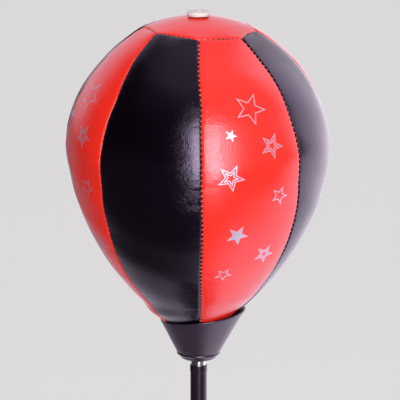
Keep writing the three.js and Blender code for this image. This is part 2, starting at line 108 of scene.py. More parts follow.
class Finish(Graph):
    """A material: constants go on the shader itself, and wires carry what varies over the surface."""

    def __init__(self, name, slot, color, roughness, metallic=0.0, **constants):
        self.material = bpy.data.materials.new(name)
        self.material.use_nodes = True
        super().__init__(self.material.node_tree)
        self.slot = slot
        self.shader = self.tree.nodes["Principled BSDF"].inputs
        self.shader["Base Color"].default_value = (*color, 1.0)
        self.shader["Roughness"].default_value = roughness
        self.shader["Metallic"].default_value = metallic
        for socket, value in constants.items():
            self.shader[socket.replace("_", " ")].default_value = value
        self.place = self.node("ShaderNodeTexCoord", {}, {}, output="Object")

    def grain(self, scale, detail=2.0, stretch=None):
        """Soft noise from 0 to 1, with about as many bumps in a metre as the scale says."""
        where = self.place
        if stretch:
            where = self.node("ShaderNodeMapping", {}, {"Vector": where, "Scale": stretch})
        return self.node("ShaderNodeTexNoise", {}, {"Vector": where, "Scale": scale, "Detail": detail})

    def tinted(self, mask, color):
        """Carries the base colour over to another one where the mask is 1."""
        socket = self.shader["Base Color"]
        under = Wire(self, socket.links[0].from_socket) if socket.is_linked else tuple(socket.default_value)
        blend = {0: mask, 6: under, 7: (*color, 1.0)}
        self.feed(socket, self.node("ShaderNodeMix", {"data_type": "RGBA"}, blend, output=2))
        return self

    def rough(self, wire):
        self.feed(self.shader["Roughness"], wire)
        return self

    def bumped(self, height, depth):
        """Raises the surface by the height, from 0 to 1, times a depth in metres."""
        bump = {"Strength": 1.0, "Distance": depth, "Height": height}
        self.feed(self.shader["Normal"], self.node("ShaderNodeBump", {}, bump, output="Normal"))
        return self


def placed(name, data):
    """A new object in the scene."""
    made = bpy.data.objects.new(name, data)
    bpy.context.collection.objects.link(made)
    return made


def finished(name, mesh, body, stands_for, sharp):
    """A smooth-shaded object that rides on a body, in place of the CAD nodes it stands for."""
    mesh.shade_smooth()
    mesh.set_sharp_from_angle(angle=math.radians(sharp))
    made = placed(name, mesh)
    if body:
        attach(made, body)
    if stands_for:
        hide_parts(*stands_for)
    return made


def rounded(corners, closed):
    """A profile through (radius, height, rounding) corners, with an arc in place of each rounded corner."""
    points = [np.array(c[:2]) for c in corners]
    count = len(points)
    profile = []
    for i, corner in enumerate(points):
        rounding = corners[i][2] if len(corners[i]) > 2 else 0
        if not rounding or (not closed and i in (0, count - 1)):
            profile.append(corner)
            continue
        back = points[i - 1] - corner
        ahead = points[(i + 1) % count] - corner
        back /= np.linalg.norm(back)
        ahead /= np.linalg.norm(ahead)
        half = math.acos(np.clip(back @ ahead, -1, 1)) / 2
        reach = rounding / math.tan(half)
        centre = corner + (back + ahead) / np.linalg.norm(back + ahead) * rounding / math.sin(half)
        start, end = corner + back * reach - centre, corner + ahead * reach - centre
        turn = math.atan2(start[0] * end[1] - start[1] * end[0], start @ end)
        profile.append(corner + back * (reach + 0.15 * rounding))
        for step in np.linspace(0, turn, 6):
            c, s = math.cos(step), math.sin(step)
            profile.append(centre + (c * start[0] - s * start[1], s * start[0] + c * start[1]))
        profile.append(corner + ahead * (reach + 0.15 * rounding))
    return np.array(profile)


def spun(profile, closed, sides=96, shape=None):
    """Points and faces of a profile turned round Z. shape(turn, radius, height) may bend it on the way."""
    turns = np.arange(sides) * 2 * math.pi / sides
    points, rings = [], []
    for radius, height in profile:
        if radius < 1e-7:
            rings.append([len(points)] * sides)
            points.append((0.0, 0.0, height))
            continue
        rings.append(list(range(len(points), len(points) + sides)))
        for turn in turns:
            r, z = shape(turn, radius, height) if shape else (radius, height)
            points.append((r * math.cos(turn), r * math.sin(turn), z))
    faces = []
    pairs = zip(rings, rings[1:] + rings[:1]) if closed else zip(rings, rings[1:])
    for low, high in pairs:
        for i in range(sides):
            j = (i + 1) % sides
            corners = [low[i], low[j], high[j], high[i]]
            face = [c for k, c in enumerate(corners) if c != corners[k - 1]]
            if len(face) > 2:
                faces.append(face)
    return points, faces


class Shape(Graph):
    """A Geometry Nodes tree with named inputs. made() runs it on a mesh and keeps the result as a piece."""

    def __init__(self, name, **inputs):
        super().__init__(bpy.data.node_groups.new(name, "GeometryNodeTree"))
        sockets = self.tree.interface
        sockets.new_socket("Geometry", in_out="INPUT", socket_type="NodeSocketGeometry")
        sockets.new_socket("Geometry", in_out="OUTPUT", socket_type="NodeSocketGeometry")
        self.values = {}
        for label, value in inputs.items():
            kind = "NodeSocketInt" if isinstance(value, int) else "NodeSocketFloat"
            made = sockets.new_socket(label, in_out="INPUT", socket_type=kind)
            self.values[made.identifier] = value
        self.start = self.tree.nodes.new("NodeGroupInput")
        self.end = self.tree.nodes.new("NodeGroupOutput")

    def named(self, label):
        return Wire(self, self.start.outputs[label])

    def ends(self, geometry, finish):
        """Turns what was repeated into plain mesh and gives it its finish."""
        whole = self.node("GeometryNodeRealizeInstances", {}, {"Geometry": geometry})
        covered = self.node("GeometryNodeSetMaterial", {}, {"Geometry": whole, "Material": finish.material})
        self.feed(self.end.inputs[0], covered)
        self.finish = finish

    def made(self, name, base, body, *stands_for, sharp=35):
        worker = placed(name, base)
        modifier = worker.modifiers.new("shape", "NODES")
        modifier.node_group = self.tree
        for identifier, value in self.values.items():
            modifier[identifier] = value
        ready = worker.evaluated_get(bpy.context.evaluated_depsgraph_get())
        mesh = bpy.data.meshes.new_from_object(ready)
        bpy.data.objects.remove(worker)
        mesh.name = name
        return finished(name, mesh, body, stands_for, sharp)


rubber = Finish("moulded_rubber", "rubber", (0.014, 0.014, 0.015), 0.75)
rubber.rough(0.62 + 0.25 * rubber.grain(900)).bumped(rubber.grain(2200, 3), 0.00012)

FOOT_COUNT = 6
foot_low, foot_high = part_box("foot_pad_1")
foot_centre = Vector(((foot_low.x + foot_high.x) / 2, (foot_low.y + foot_high.y) / 2, 0))
foot_radius = (foot_high.x - foot_low.x) / 2
TREADS = 0.0008
tread_outline = [
    (0, TREADS), (0.35 * foot_radius, TREADS, 0.0003), (0.4 * foot_radius, 0, 0.0003),
    (0.6 * foot_radius, 0, 0.0003), (0.65 * foot_radius, TREADS, 0.0003),
    (0.75 * foot_radius, TREADS, 0.0003), (0.8 * foot_radius, 0, 0.0003),
    (foot_radius - 0.0004, 0, 0.0004), (foot_radius, foot_high.z, 0.0004), (0, foot_high.z),
]
pad_points, pad_faces = spun(rounded(tread_outline, False), False, 48)
one_pad = bpy.data.meshes.new("one_pad")
one_pad.from_pydata(pad_points, [], pad_faces)

ring_of_feet = Shape("ring_of_feet", Count=FOOT_COUNT, Circle=math.hypot(foot_centre.x, foot_centre.y))
spacing = {"Vertices": ring_of_feet.named("Count"), "Radius": ring_of_feet.named("Circle")}
places = ring_of_feet.node("GeometryNodeMeshCircle", {}, spacing)
glued = {"Points": places, "Instance": ring_of_feet.named("Geometry")}
feet = ring_of_feet.node("GeometryNodeInstanceOnPoints", {}, glued)
ring_of_feet.ends(feet, rubber)
ring_of_feet.made("rubber_feet", one_pad, "base", *[f"foot_pad_{i + 1}" for i in range(FOOT_COUNT)])

# ---- Base shell ----
# One blow-moulded shell of black plastic with a blind socket for the spring's lower plug. Its top is
# stiffened by shallow ribs, and the filler port is moulded with it.
def piece(name, points, faces, finish, body, *stands_for, sharp=35, flat=None):
    """A mesh piece that rides on a body, in place of the CAD nodes named after it.

    flat gives each point's place on the cut panel, for what is printed on it."""
    mesh = bpy.data.meshes.new(name)
    mesh.from_pydata([tuple(p) for p in points], [], faces)
    if flat is not None:
        corners = np.zeros(len(mesh.loops), dtype=int)
        mesh.loops.foreach_get("vertex_index", corners)
        mesh.uv_layers.new(name="cut_panel").data.foreach_set("uv", flat[corners].ravel())
    mesh.materials.append(finish.material)
    return finished(name, mesh, body, stands_for, sharp)


def turned(
    name, corners, finish, body, *stands_for, closed=False, sides=96, shape=None, move=(0, 0, 0), lies_at=0
):
    """A piece turned round Z, or laid along +X at a height."""
    points, faces = spun(rounded(corners, closed), closed, sides, shape)
    if lies_at:
        points = [(z, y, lies_at - x) for x, y, z in points]
    return piece(name, np.array(points) + move, faces, finish, body, *stands_for)


def bent(*controls, count=160):
    """Points on the Bezier curve of the given control points."""
    t = np.linspace(0, 1, count)[:, None]
    last = len(controls) - 1
    weights = [math.comb(last, i) * (1 - t) ** (last - i) * t ** i for i in range(last + 1)]
    return sum(weight * np.array(point) for weight, point in zip(weights, controls))


def eased(x):
    """From 0 to 1 with a soft start and end."""
    return x * x * (3 - 2 * x)


BLACK_PLASTIC = (0.016, 0.012, 0.018)
plastic = Finish("moulded_black_plastic", "black_plastic", BLACK_PLASTIC, 0.42, Specular_IOR_Level=0.55)
plastic.rough(0.36 + 0.14 * plastic.grain(160))
plastic.bumped(0.7 * plastic.grain(1800, 3) + 0.3 * plastic.grain(90, 2), 0.0001)

shell_low, shell_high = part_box("base_shell")
cap_low, cap_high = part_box("filler_cap")
BASE_BAND = 0.034
BAND_SINK = 0.0015
LEDGE, LEDGE_DROP = 0.014, 0.004
SOCKET, SOCKET_DEPTH = 0.0145, 0.05
BOSS = 0.036
DOME_TOP = 0.084
RIBS = 12
RIB_RISE = 0.0022
RIB_FADE = 0.012
base_radius = shell_high.x
base_floor = shell_low.z
band_top = base_floor + BASE_BAND
ledge = base_radius - LEDGE
dome = bent(
    (ledge, band_top - LEDGE_DROP),
    (ledge - 0.35 * base_radius, band_top + 0.42 * (DOME_TOP - BASE_BAND) - base_floor),
    (BOSS + 0.25 * base_radius, DOME_TOP),
    (BOSS, DOME_TOP),
    count=25,
)
shell_outline = [
    (0, base_floor), (base_radius - 0.03, base_floor), (base_radius, base_floor, 0.009),
    (base_radius, base_floor + 0.012, 0.0006), (base_radius - BAND_SINK, base_floor + 0.014, 0.0006),
    (base_radius - BAND_SINK, band_top - 0.014, 0.0006), (base_radius, band_top - 0.012, 0.0006),
    (base_radius, band_top, 0.007), (base_radius - 0.0125, band_top, 0.001),
    (base_radius - 0.0145, band_top - LEDGE_DROP, 0.001), *dome[2:-1], (BOSS, DOME_TOP, 0.002),
    (BOSS, shell_high.z, 0.0015), (SOCKET, shell_high.z, 0.0005), (SOCKET, shell_high.z - SOCKET_DEPTH),
    (0, shell_high.z - SOCKET_DEPTH),
]


def ribbed(turn, radius, height):
    """Raises flat-topped ribs on the dome, fading in from the ledge and out at the boss."""
    inner, outer = BOSS + RIB_FADE, base_radius - 2 * RIB_FADE
    if not inner < radius < outer or height < band_top - 0.005:
        return radius, height
    fade = min(1, (radius - inner) / RIB_FADE, (outer - radius) / RIB_FADE)
    wave = math.cos(turn * RIBS)
    return radius, height + RIB_RISE * fade * eased(min(1, max(0, (wave - 0.55) / 0.25)))


turned("base_moulding", shell_outline, plastic, "base", "base_shell", sides=288, shape=ribbed)

port_x = (cap_low.x + cap_high.x) / 2
port_y = (cap_low.y + cap_high.y) / 2
PORT_TOP = 0.084
turned("filler_neck", [
    (0.015, 0.05), (0.0255, 0.05), (0.024, 0.062, 0.004), (0.024, PORT_TOP - 0.006, 0.0004),
    (0.0232, PORT_TOP - 0.0055, 0.0004), (0.0232, PORT_TOP, 0.0008), (0.015, PORT_TOP, 0.0005),
], plastic, "base", closed=True, sides=72, move=(port_x, port_y, 0))

# ---- Sand ----
# Dry sand poured in through the filler port. It lies level in the bottom of the base and keeps the toy
# standing.
sand = Finish("loose_sand", "sand", (0.5, 0.4, 0.24), 0.95)
sand.tinted(sand.grain(900, 3), (0.62, 0.53, 0.36)).bumped(sand.grain(1300, 3), 0.0006)


def coated(node, finish):
    """Gives a CAD node its finish and leaves its shape."""
    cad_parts[node].material_slots[0].material = finish.material


coated("sand_ballast", sand)

# ---- Filler cap and seal ----
# A screw cap of the same plastic with finger grips round its rim and a raised bar across its top, on a flat
# ring of black rubber.
seal_low, seal_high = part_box("filler_seal")
turned("cap_seal_ring", [
    (0.015, seal_low.z, 0.0004), (0.019, seal_low.z, 0.0006), (0.019, seal_high.z, 0.0006),
    (0.015, seal_high.z, 0.0004),
], rubber, "filler_cap", "filler_seal", closed=True, sides=64, move=(port_x, port_y, 0))
CAP_GRIPS = 10
GRIP_SINK, GRIPS_FROM = 0.0022, 0.018


def gripped(turn, radius, height):
    """Sinks finger grips into the cap's rim."""
    if radius < GRIPS_FROM:
        return radius, height
    return radius - GRIP_SINK * max(0, math.cos(turn * CAP_GRIPS)) ** 3, height


turned("screw_cap", [
    (0, cap_low.z), (0.0146, cap_low.z, 0.0008), (0.0146, seal_high.z, 0.0003), (0.022, seal_high.z, 0.0006),
    (0.022, cap_high.z, 0.0018), (0.0165, cap_high.z, 0.0008), (0.015, cap_high.z - 0.0035, 0.0008),
    (0, cap_high.z - 0.0035),
], plastic, "filler_cap", "filler_cap", sides=160, shape=gripped, move=(port_x, port_y, 0))


def faces_of(rows, columns, wrap=False):
    """Quads between the points of a grid."""
    index = np.arange(rows * columns).reshape(rows, columns)
    if wrap:
        index = np.hstack([index, index[:, :1]])
    return np.stack([index[:-1, :-1], index[:-1, 1:], index[1:, 1:], index[1:, :-1]], axis=-1).reshape(-1, 4)


BAR_ACROSS, BAR_THICK, BAR_ROUND = 0.0145, 0.0028, 0.0012
BAR_LEVELS = ((0.0037, 1.0), (0.0007, 1.0), (0.0001, 0.97))
BAR_CORNERS = ((1, -1), (1, 1), (-1, 1), (-1, -1))
bar = rounded([(x * BAR_ACROSS, y * BAR_THICK, BAR_ROUND) for x, y in BAR_CORNERS], True)
bar_points = [
    (port_x + size * x, port_y + size * y, cap_high.z - below) for below, size in BAR_LEVELS for x, y in bar
]
bar_faces = faces_of(len(BAR_LEVELS), len(bar), wrap=True).tolist()
bar_faces += [list(range(len(bar)))[::-1], list(range(len(bar_points) - len(bar), len(bar_points)))]
piece("cap_finger_bar", bar_points, bar_faces, plastic, "filler_cap")

# ---- Lock ring ----
# A ring nut of black plastic that screws down over the boss and holds the spring's lower plug. Flat-topped
# ribs round its skirt give the hand a hold.
ring_low, ring_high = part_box("lock_ring")
RING_GRIPS = 24
RING_GRIP_RISE = 0.0011
RING_SKIRT, RING_SHOULDER = 0.04, 0.0045


def knurled(turn, radius, height):
    """Raises the lock ring's ribs on its skirt."""
    if radius < RING_SKIRT or height > ring_high.z - RING_SHOULDER:
        return radius, height
    wave = math.cos(turn * RING_GRIPS)
    return radius - RING_GRIP_RISE * (1 - min(1, max(0, (wave + 0.3) / 0.5))), height


turned("ring_nut", [
    (BOSS + 0.0003, ring_low.z, 0.0004), (0.044, ring_low.z, 0.001), (0.044, ring_low.z + 0.006),
    (0.044, ring_low.z + 0.012), (0.044, ring_high.z - 0.006), (0.0436, ring_high.z - 0.0035, 0.0008),
    (0.0385, ring_high.z, 0.002), (0.016, ring_high.z, 0.001), (0.016, ring_high.z - 0.005, 0.0003),
    (BOSS + 0.0003, ring_high.z - 0.005),
], plastic, "base", "lock_ring", closed=True, sides=288, shape=knurled)

# ---- Spring plugs ----
# Two turned and chromed steel plugs. Their cores reach into the spring's ends, and their shoulders carry it.
# The lower one's flange is held by the lock ring.
chrome = Finish("chrome_plate", "bright_steel", (0.72, 0.72, 0.76), 0.14, metallic=1.0)
chrome.rough(0.2 + 0.12 * chrome.grain(220)).bumped(chrome.grain(1400, 2), 0.00001)

plug_low, plug_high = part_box("spring_lower_plug")
coil_low, coil_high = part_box("coil_spring")
socket_top = shell_high.z
flange_top = socket_top + 0.004
spring_bottom = flange_top + 0.012
CORE = 0.0104
COLLAR = 0.015
turned("lower_plug", [
    (0, plug_low.z), (0.0142, plug_low.z, 0.001), (0.0142, socket_top), (0.033, socket_top, 0.0005),
    (0.033, flange_top, 0.0005), (COLLAR, flange_top, 0.0004), (COLLAR, spring_bottom, 0.001),
    (CORE, spring_bottom, 0.0004), (CORE, plug_high.z, 0.0015), (0, plug_high.z),
], chrome, "base", "spring_lower_plug")
upper_plug_low, upper_plug_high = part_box("spring_upper_plug")
tube_low, tube_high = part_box("lower_tube")
spring_top = upper_plug_low.z + 0.016
turned("upper_plug", [
    (0, upper_plug_low.z), (CORE, upper_plug_low.z, 0.0015), (CORE, spring_top, 0.0004),
    (COLLAR, spring_top, 0.001), (COLLAR, tube_low.z, 0.001), (0.0095, tube_low.z),
    (0.0095, upper_plug_high.z, 0.001), (0, upper_plug_high.z),
], chrome, "lower_pole", "spring_upper_plug")

# ---- Coil spring ----
# Chromed spring wire, wound open with a closed coil at each end. It is made as a lower and an upper half
# that meet in the middle.
WIRE = 0.002
TURNS = 12
end_rise = 2.04 * WIRE
coil_rise = coil_high.z - coil_low.z - 2 * WIRE

winding = Shape(
    "spring_winding",
    Radius=coil_high.x - WIRE,
    Wire=WIRE,
    Turns=float(TURNS),
    End_rise=end_rise,
    Rise=(coil_rise - 2 * end_rise) / (TURNS - 2),
    From=0.0,
    To=0.5,
)
circle = winding.node(
    "GeometryNodeCurveSpiral", {},
    {
        "Resolution": 48,
        "Rotations": winding.named("Turns"),
        "Start Radius": winding.named("Radius"),
        "End Radius": winding.named("Radius"),
        "Height": 0.0,
    },
)
share_wound = winding.node("GeometryNodeSplineParameter", {}, {}, "Factor")
wound = share_wound * winding.named("Turns")
first_turn = wound.math("MINIMUM", 1.0)
last_turn = (wound - winding.named("Turns") + 1.0).math("MAXIMUM", 0.0)
open_turns = wound - first_turn - last_turn
height = (first_turn + last_turn) * winding.named("End_rise") + open_turns * winding.named("Rise")
lifted = winding.triple(0.0, 0.0, height + (coil_low.z + WIRE))
helix = winding.node("GeometryNodeSetPosition", {}, {"Geometry": circle, "Offset": lifted})
half = winding.node(
    "GeometryNodeTrimCurve", {"mode": "FACTOR"},
    {"Curve": helix, "Start": winding.named("From"), "End": winding.named("To")},
)
round_wire = {"Resolution": 12, "Radius": winding.named("Wire")}
section = winding.node("GeometryNodeCurvePrimitiveCircle", {}, round_wire)
drawn = {"Curve": half, "Profile Curve": section, "Fill Caps": True}
winding.ends(winding.node("GeometryNodeCurveToMesh", {}, drawn), chrome)

no_points = bpy.data.meshes.new("nothing")
lower_coil = winding.made("spring_lower_half", no_points, None, "coil_spring", sharp=60)
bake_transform(lower_coil)
for identifier, value in winding.values.items():
    if value in (0.0, 0.5):
        winding.values[identifier] = value + 0.5
upper_coil = winding.made("spring_upper_half", no_points, None, "coil_spring", sharp=60)
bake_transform(upper_coil)

# ---- Lower tube ----
# A steel tube with a black powder coat, cut square at both ends. It is pressed over the upper plug's spigot
# and carries the height clamp at its top.
paint = Finish("black_powder_coat", "black_paint", (0.013, 0.007, 0.013), 0.3, Specular_IOR_Level=0.55)
paint.shader["Specular Tint"].default_value = (0.92, 0.78, 1.0, 1.0)
paint.rough(0.27 + 0.06 * paint.grain(240)).bumped(paint.grain(700, 2), 0.00001)

TUBE = tube_high.x
TUBE_BORE = TUBE - 0.0012
turned("coated_lower_tube", [
    (TUBE_BORE, tube_low.z), (TUBE, tube_low.z, 0.0004), (TUBE, tube_high.z, 0.0003),
    (TUBE_BORE, tube_high.z, 0.0003),
], paint, "lower_pole", "lower_tube", closed=True)

# ---- Height clamp ----
# A moulded plastic housing screwed to the lower tube. A lobed knob turns a steel screw that presses a brass
# pad on the upper tube.
clamp_low, clamp_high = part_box("clamp_housing")
knob_low, knob_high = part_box("height_knob")
screw_low, screw_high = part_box("knob_screw")
pad_low, pad_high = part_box("clamp_pad")
screw_height = (screw_low.z + screw_high.z) / 2
SLEEVE_BORE = 0.00815
HOUSING = -clamp_low.x
turned("clamp_moulding", [
    (TUBE + 0.0003, clamp_low.z, 0.0003), (HOUSING - 0.0002, clamp_low.z, 0.0012),
    (HOUSING, clamp_low.z + 0.006, 0.0004), (HOUSING - 0.0009, clamp_low.z + 0.0068, 0.0004),
    (HOUSING - 0.0009, tube_high.z - 0.003, 0.0004), (HOUSING, tube_high.z - 0.002, 0.0004),
    (HOUSING, clamp_high.z - 0.004, 0.0012), (HOUSING - 0.003, clamp_high.z, 0.0012),
    (SLEEVE_BORE, clamp_high.z, 0.0006), (SLEEVE_BORE, tube_high.z + 0.0003),
    (TUBE + 0.0003, tube_high.z + 0.0003),
], plastic, "lower_pole", "clamp_housing", closed=True)
turned("clamp_screw_boss", [
    (0.00325, 0.0105), (0.0105, 0.0105), (0.0092, 0.018, 0.003), (0.009, clamp_high.x, 0.0008),
    (0.00325, clamp_high.x, 0.0004),
], plastic, "lower_pole", closed=True, sides=64, lies_at=screw_height)

fixing_low, fixing_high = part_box("clamp_fixing_screw")
fixing_height = (fixing_low.z + fixing_high.z) / 2
turned("fixing_screw", [
    (0, -HOUSING - 0.001), (0.0012, -HOUSING - 0.001),
    (0.0014, -HOUSING - 0.0022, 0.0003), (0.0024, -HOUSING - 0.0022, 0.0006),
    (0.0038, -HOUSING - 0.0008, 0.0005), (0.0038, -HOUSING + 0.0008),
    (0.002, -HOUSING + 0.0008), (0.002, fixing_high.x), (0, fixing_high.x),
], chrome, "lower_pole", "clamp_fixing_screw", sides=48, lies_at=fixing_height)

brass = Finish("machined_brass", "brass", (0.58, 0.38, 0.12), 0.3, metallic=1.0)
brass.rough(0.25 + 0.15 * brass.grain(600, stretch=(1, 1, 12))).bumped(brass.grain(1200), 0.00002)
turned(
    "brass_pad",
    [(0, pad_low.x), (0.003, pad_low.x, 0.0005), (0.003, pad_high.x, 0.0004), (0, pad_high.x)],
    brass, "clamp_pad", "clamp_pad", sides=48, lies_at=screw_height,
)

THREAD_PITCH = 0.001
THREAD_ROOT, THREAD_CREST = 0.0026, 0.003
screw_outline = [(0, screw_low.x), (0.0025, screw_low.x, 0.0003)]
crest = screw_low.x + 0.0008
while crest < knob_low.x - 0.0008:
    screw_outline.append((THREAD_ROOT, crest))
    screw_outline += [(THREAD_CREST, crest + along * THREAD_PITCH) for along in (0.4, 0.6)]
    crest += THREAD_PITCH
screw_outline += [(0.0028, crest), (0.0028, screw_high.x), (0, screw_high.x)]
turned("clamp_screw", screw_outline, chrome, "knob", "knob_screw", sides=48, lies_at=screw_height)

KNOB_LOBES = 6
LOBE_SINK, LOBES_FROM = 0.0017, 0.01
knob_radius = (knob_high.z - knob_low.z) / 2


def lobed(turn, radius, height):
    """Swings the knob's side in and out for the fingers."""
    if radius < LOBES_FROM:
        return radius, height
    sink = LOBE_SINK * (radius - LOBES_FROM) / (knob_radius - LOBES_FROM)
    return radius - sink * (1 - math.cos(turn * KNOB_LOBES)), height


turned("lobed_knob", [
    (0.0032, knob_low.x), (0.0062, knob_low.x, 0.0006), (0.0066, knob_low.x + 0.0025, 0.0008),
    (knob_radius - 0.0006, knob_low.x + 0.003, 0.0012), (knob_radius, knob_high.x - 0.003, 0.001),
    (knob_radius - 0.0015, knob_high.x - 0.0004, 0.0015), (0.006, knob_high.x, 0.001),
    (0.0052, knob_high.x - 0.0012, 0.0006), (0, knob_high.x - 0.001), (0, knob_high.x - 0.0035),
    (0.0032, knob_high.x - 0.0037),
], plastic, "knob", "height_knob", closed=True, sides=144, shape=lobed, lies_at=screw_height)

# ---- Upper tube, its sleeve and fittings ----
# A chromed steel tube in a black shrunk-on sleeve that stops short of the funnel, with a plastic ring over
# the sleeve's end. A plastic stop in its foot runs in the lower tube, and the steel stud in its top carries
# the ball.
upper_low, upper_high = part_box("upper_tube")
sleeve_low, sleeve_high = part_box("upper_sleeve")
collar_low, collar_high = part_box("sleeve_ring")
stop_low, stop_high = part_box("tube_stop")
stud_low, stud_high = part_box("tube_stud")
INNER = upper_high.x
INNER_BORE = INNER - 0.001
SLEEVE = sleeve_high.x
STUD = 0.004
turned("chromed_upper_tube", [
    (INNER_BORE, upper_low.z), (INNER, upper_low.z, 0.0003), (INNER, upper_high.z, 0.0003),
    (INNER_BORE, upper_high.z, 0.0002),
], chrome, "upper_pole", "upper_tube", closed=True)
turned("black_sleeve", [
    (INNER + 0.0002, sleeve_low.z), (SLEEVE, sleeve_low.z, 0.0002), (SLEEVE, sleeve_high.z),
    (INNER + 0.0002, sleeve_high.z),
], paint, "upper_pole", "upper_sleeve", closed=True)
turned("sleeve_end_ring", [
    (INNER + 0.0002, collar_low.z), (SLEEVE + 0.0001, collar_low.z),
    (SLEEVE + 0.00035, collar_low.z + 0.0006, 0.0002), (SLEEVE + 0.00035, collar_high.z, 0.0004),
    (INNER + 0.0002, collar_high.z, 0.0002),
], paint, "upper_pole", "sleeve_ring", closed=True)
turned("tube_foot_stop", [
    (0, stop_low.z), (TUBE_BORE - 0.0003, stop_low.z, 0.001), (TUBE_BORE - 0.0003, upper_low.z, 0.0002),
    (INNER_BORE - 0.0003, upper_low.z), (INNER_BORE - 0.0003, stop_high.z, 0.001), (0, stop_high.z),
], plastic, "upper_pole", "tube_stop")
turned("ball_stud", [
    (0, stud_low.z), (INNER_BORE - 0.0003, stud_low.z, 0.0008), (INNER_BORE - 0.0003, upper_high.z),
    (INNER, upper_high.z, 0.0002), (INNER, upper_high.z + 0.002, 0.0004),
    (STUD, upper_high.z + 0.002, 0.0002), (STUD, stud_high.z, 0.0006), (0, stud_high.z),
], chrome, "upper_pole", "tube_stud", sides=64)

# ---- Funnel ----
# A soft black plastic cup that carries the ball. Its rim stands higher on one side, its bottom edge flares
# to a thin lip, and its floor is dished round the hub that drops over the tube.
cup = Finish("satin_cup_plastic", "black_plastic", (0.024, 0.014, 0.026), 0.3, Specular_IOR_Level=0.9)
cup.shader["Specular Tint"].default_value = (0.92, 0.78, 1.0, 1.0)
cup.rough(0.24 + 0.12 * cup.grain(120)).bumped(0.8 * cup.grain(1500, 3) + 0.6 * cup.grain(60, 2), 0.00012)

cup_low, cup_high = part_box("funnel")
RIM_LEAN = math.radians(7)
CUP_WALL = 0.0024
CUP_FOOT = 0.0194
CUP_RIM = cup_high.x - 0.0008
CUP_SHIFT = 0.0011
CUP_BOTTOM = 0.004
RIM_FLARE = 0.0011
cup_rim = cup_high.z
CUP_HEIGHT = 0.041
cup_foot = cup_rim - CUP_HEIGHT
cup_flare = (CUP_RIM - CUP_FOOT) / CUP_HEIGHT
HUB = 0.0121


def leaning(turn, radius, height):
    """Carries the rim up the cone on the right and down it on the left."""
    up = max(0, (height - cup_foot - CUP_BOTTOM) / (CUP_HEIGHT - CUP_BOTTOM))
    rise = up ** 2 * math.tan(RIM_LEAN) * CUP_RIM * math.cos(turn)
    widening = CUP_SHIFT * up * math.cos(turn) + RIM_FLARE * up ** 8 * max(0, math.cos(turn)) ** 2
    return radius + rise * cup_flare + widening, height + rise


cup_side = [
    (CUP_FOOT + cup_flare * h, cup_foot + h)
    for h in np.linspace(CUP_BOTTOM, CUP_HEIGHT - CUP_BOTTOM, 14)
]
cup_inside = [(r - CUP_WALL, h) for r, h in reversed(cup_side)]
turned("funnel_cup", [
    (INNER + 0.0003, cup_low.z, 0.0003), (HUB - 0.001, cup_low.z, 0.001), (0.0165, cup_low.z + 0.0008, 0.006),
    (CUP_FOOT - 0.0006, cup_foot - 0.0006, 0.0009), (CUP_FOOT + 0.0015, cup_foot + 0.0009, 0.0003),
    (CUP_FOOT + 0.0015, cup_foot + 0.0016, 0.0004), (CUP_FOOT + 0.0012, cup_foot + 0.003, 0.0016), *cup_side,
    (CUP_RIM, cup_rim, 0.0009), (CUP_RIM - CUP_WALL, cup_rim, 0.0009), *cup_inside,
    (CUP_FOOT - CUP_WALL, cup_foot + 0.001, 0.002), (HUB, cup_foot + 0.001, 0.001),
    (HUB, cup_foot + 0.014, 0.0005), (STUD + 0.0003, cup_foot + 0.014), (STUD + 0.0003, cup_foot + 0.011),
    (INNER + 0.0003, cup_foot + 0.011),
], cup, "upper_pole", "funnel", closed=True, sides=192, shape=leaning)

# ---- Ball flange and nut ----
# Inside the cover's neck, a moulded plastic cone that clamps the leather, and the brass nut that screws it
# down on the stud.
coated("ball_flange", plastic)
coated("ball_nut", brass)

# ---- Ball cover: eight side panels ----
# Panels of glossy artificial leather, red and black in turn, sewn edge to edge from the neck in the funnel up
# to the top panel. The edges are turned in along the seams, and the stitches pull them into small scallops.
PANELS = 8
SEAM_TURN = -math.pi / 2
PANEL_ANGLE = 2 * math.pi / PANELS
BALL = 0.1262
PILLOW = 0.01
STITCH = 0.0051
ROW = STITCH / 4
RED_ROLL, BLACK_ROLL = 0.002, 0.0008
EDGE_GAP = 0.00015
SCALLOP = 0.0006
TURN_IN = 0.0028
LEATHER = 0.0009
EDGE_COLUMNS = np.array([0.00, 0.00, 0.2, 0.45, 0.8, 1.25, 1.8, 2.6, 3.5, 4.5]) / 1000
MIDDLE_COLUMNS = 13
CAP_STITCHES = 9
CAP_CORNER = 0.0541
CAP_UP = 0.2774
NECK_SLOPE = math.radians(40)
FLANK_SLOPE = math.radians(46.2)
KNUCKLE = math.radians(3.2)
CAP_TILT = math.radians(1.8)
CAP_SADDLE = 0.0018
CAP_FLATNESS = 0.0018
CORNER_PEAK = 0.0006
SHOULDER_SLOPE = math.radians(29.7)
FLANK_PULL = 0.0715
WAIST_PULL = 0.0648
SHOULDER_PULL = 0.035
CORNER_PULL = 0.0538
WAIST_UP = 0.1683
NECK = 0.039
NECK_DEPTH = 0.028
CAP_RISE = 0.0132
MERIDIAN_STEP = 0.0005

equator = cup_rim + WAIST_UP
neck_top = np.array((NECK, cup_rim))
neck_end = neck_top - NECK_DEPTH * np.array((math.sin(NECK_SLOPE), math.cos(NECK_SLOPE)))
waist = np.array((BALL, equator))
cap_corner = np.array((CAP_CORNER, cup_rim + CAP_UP))
cap_middle = np.array((0.0, cap_corner[1] + CAP_RISE))


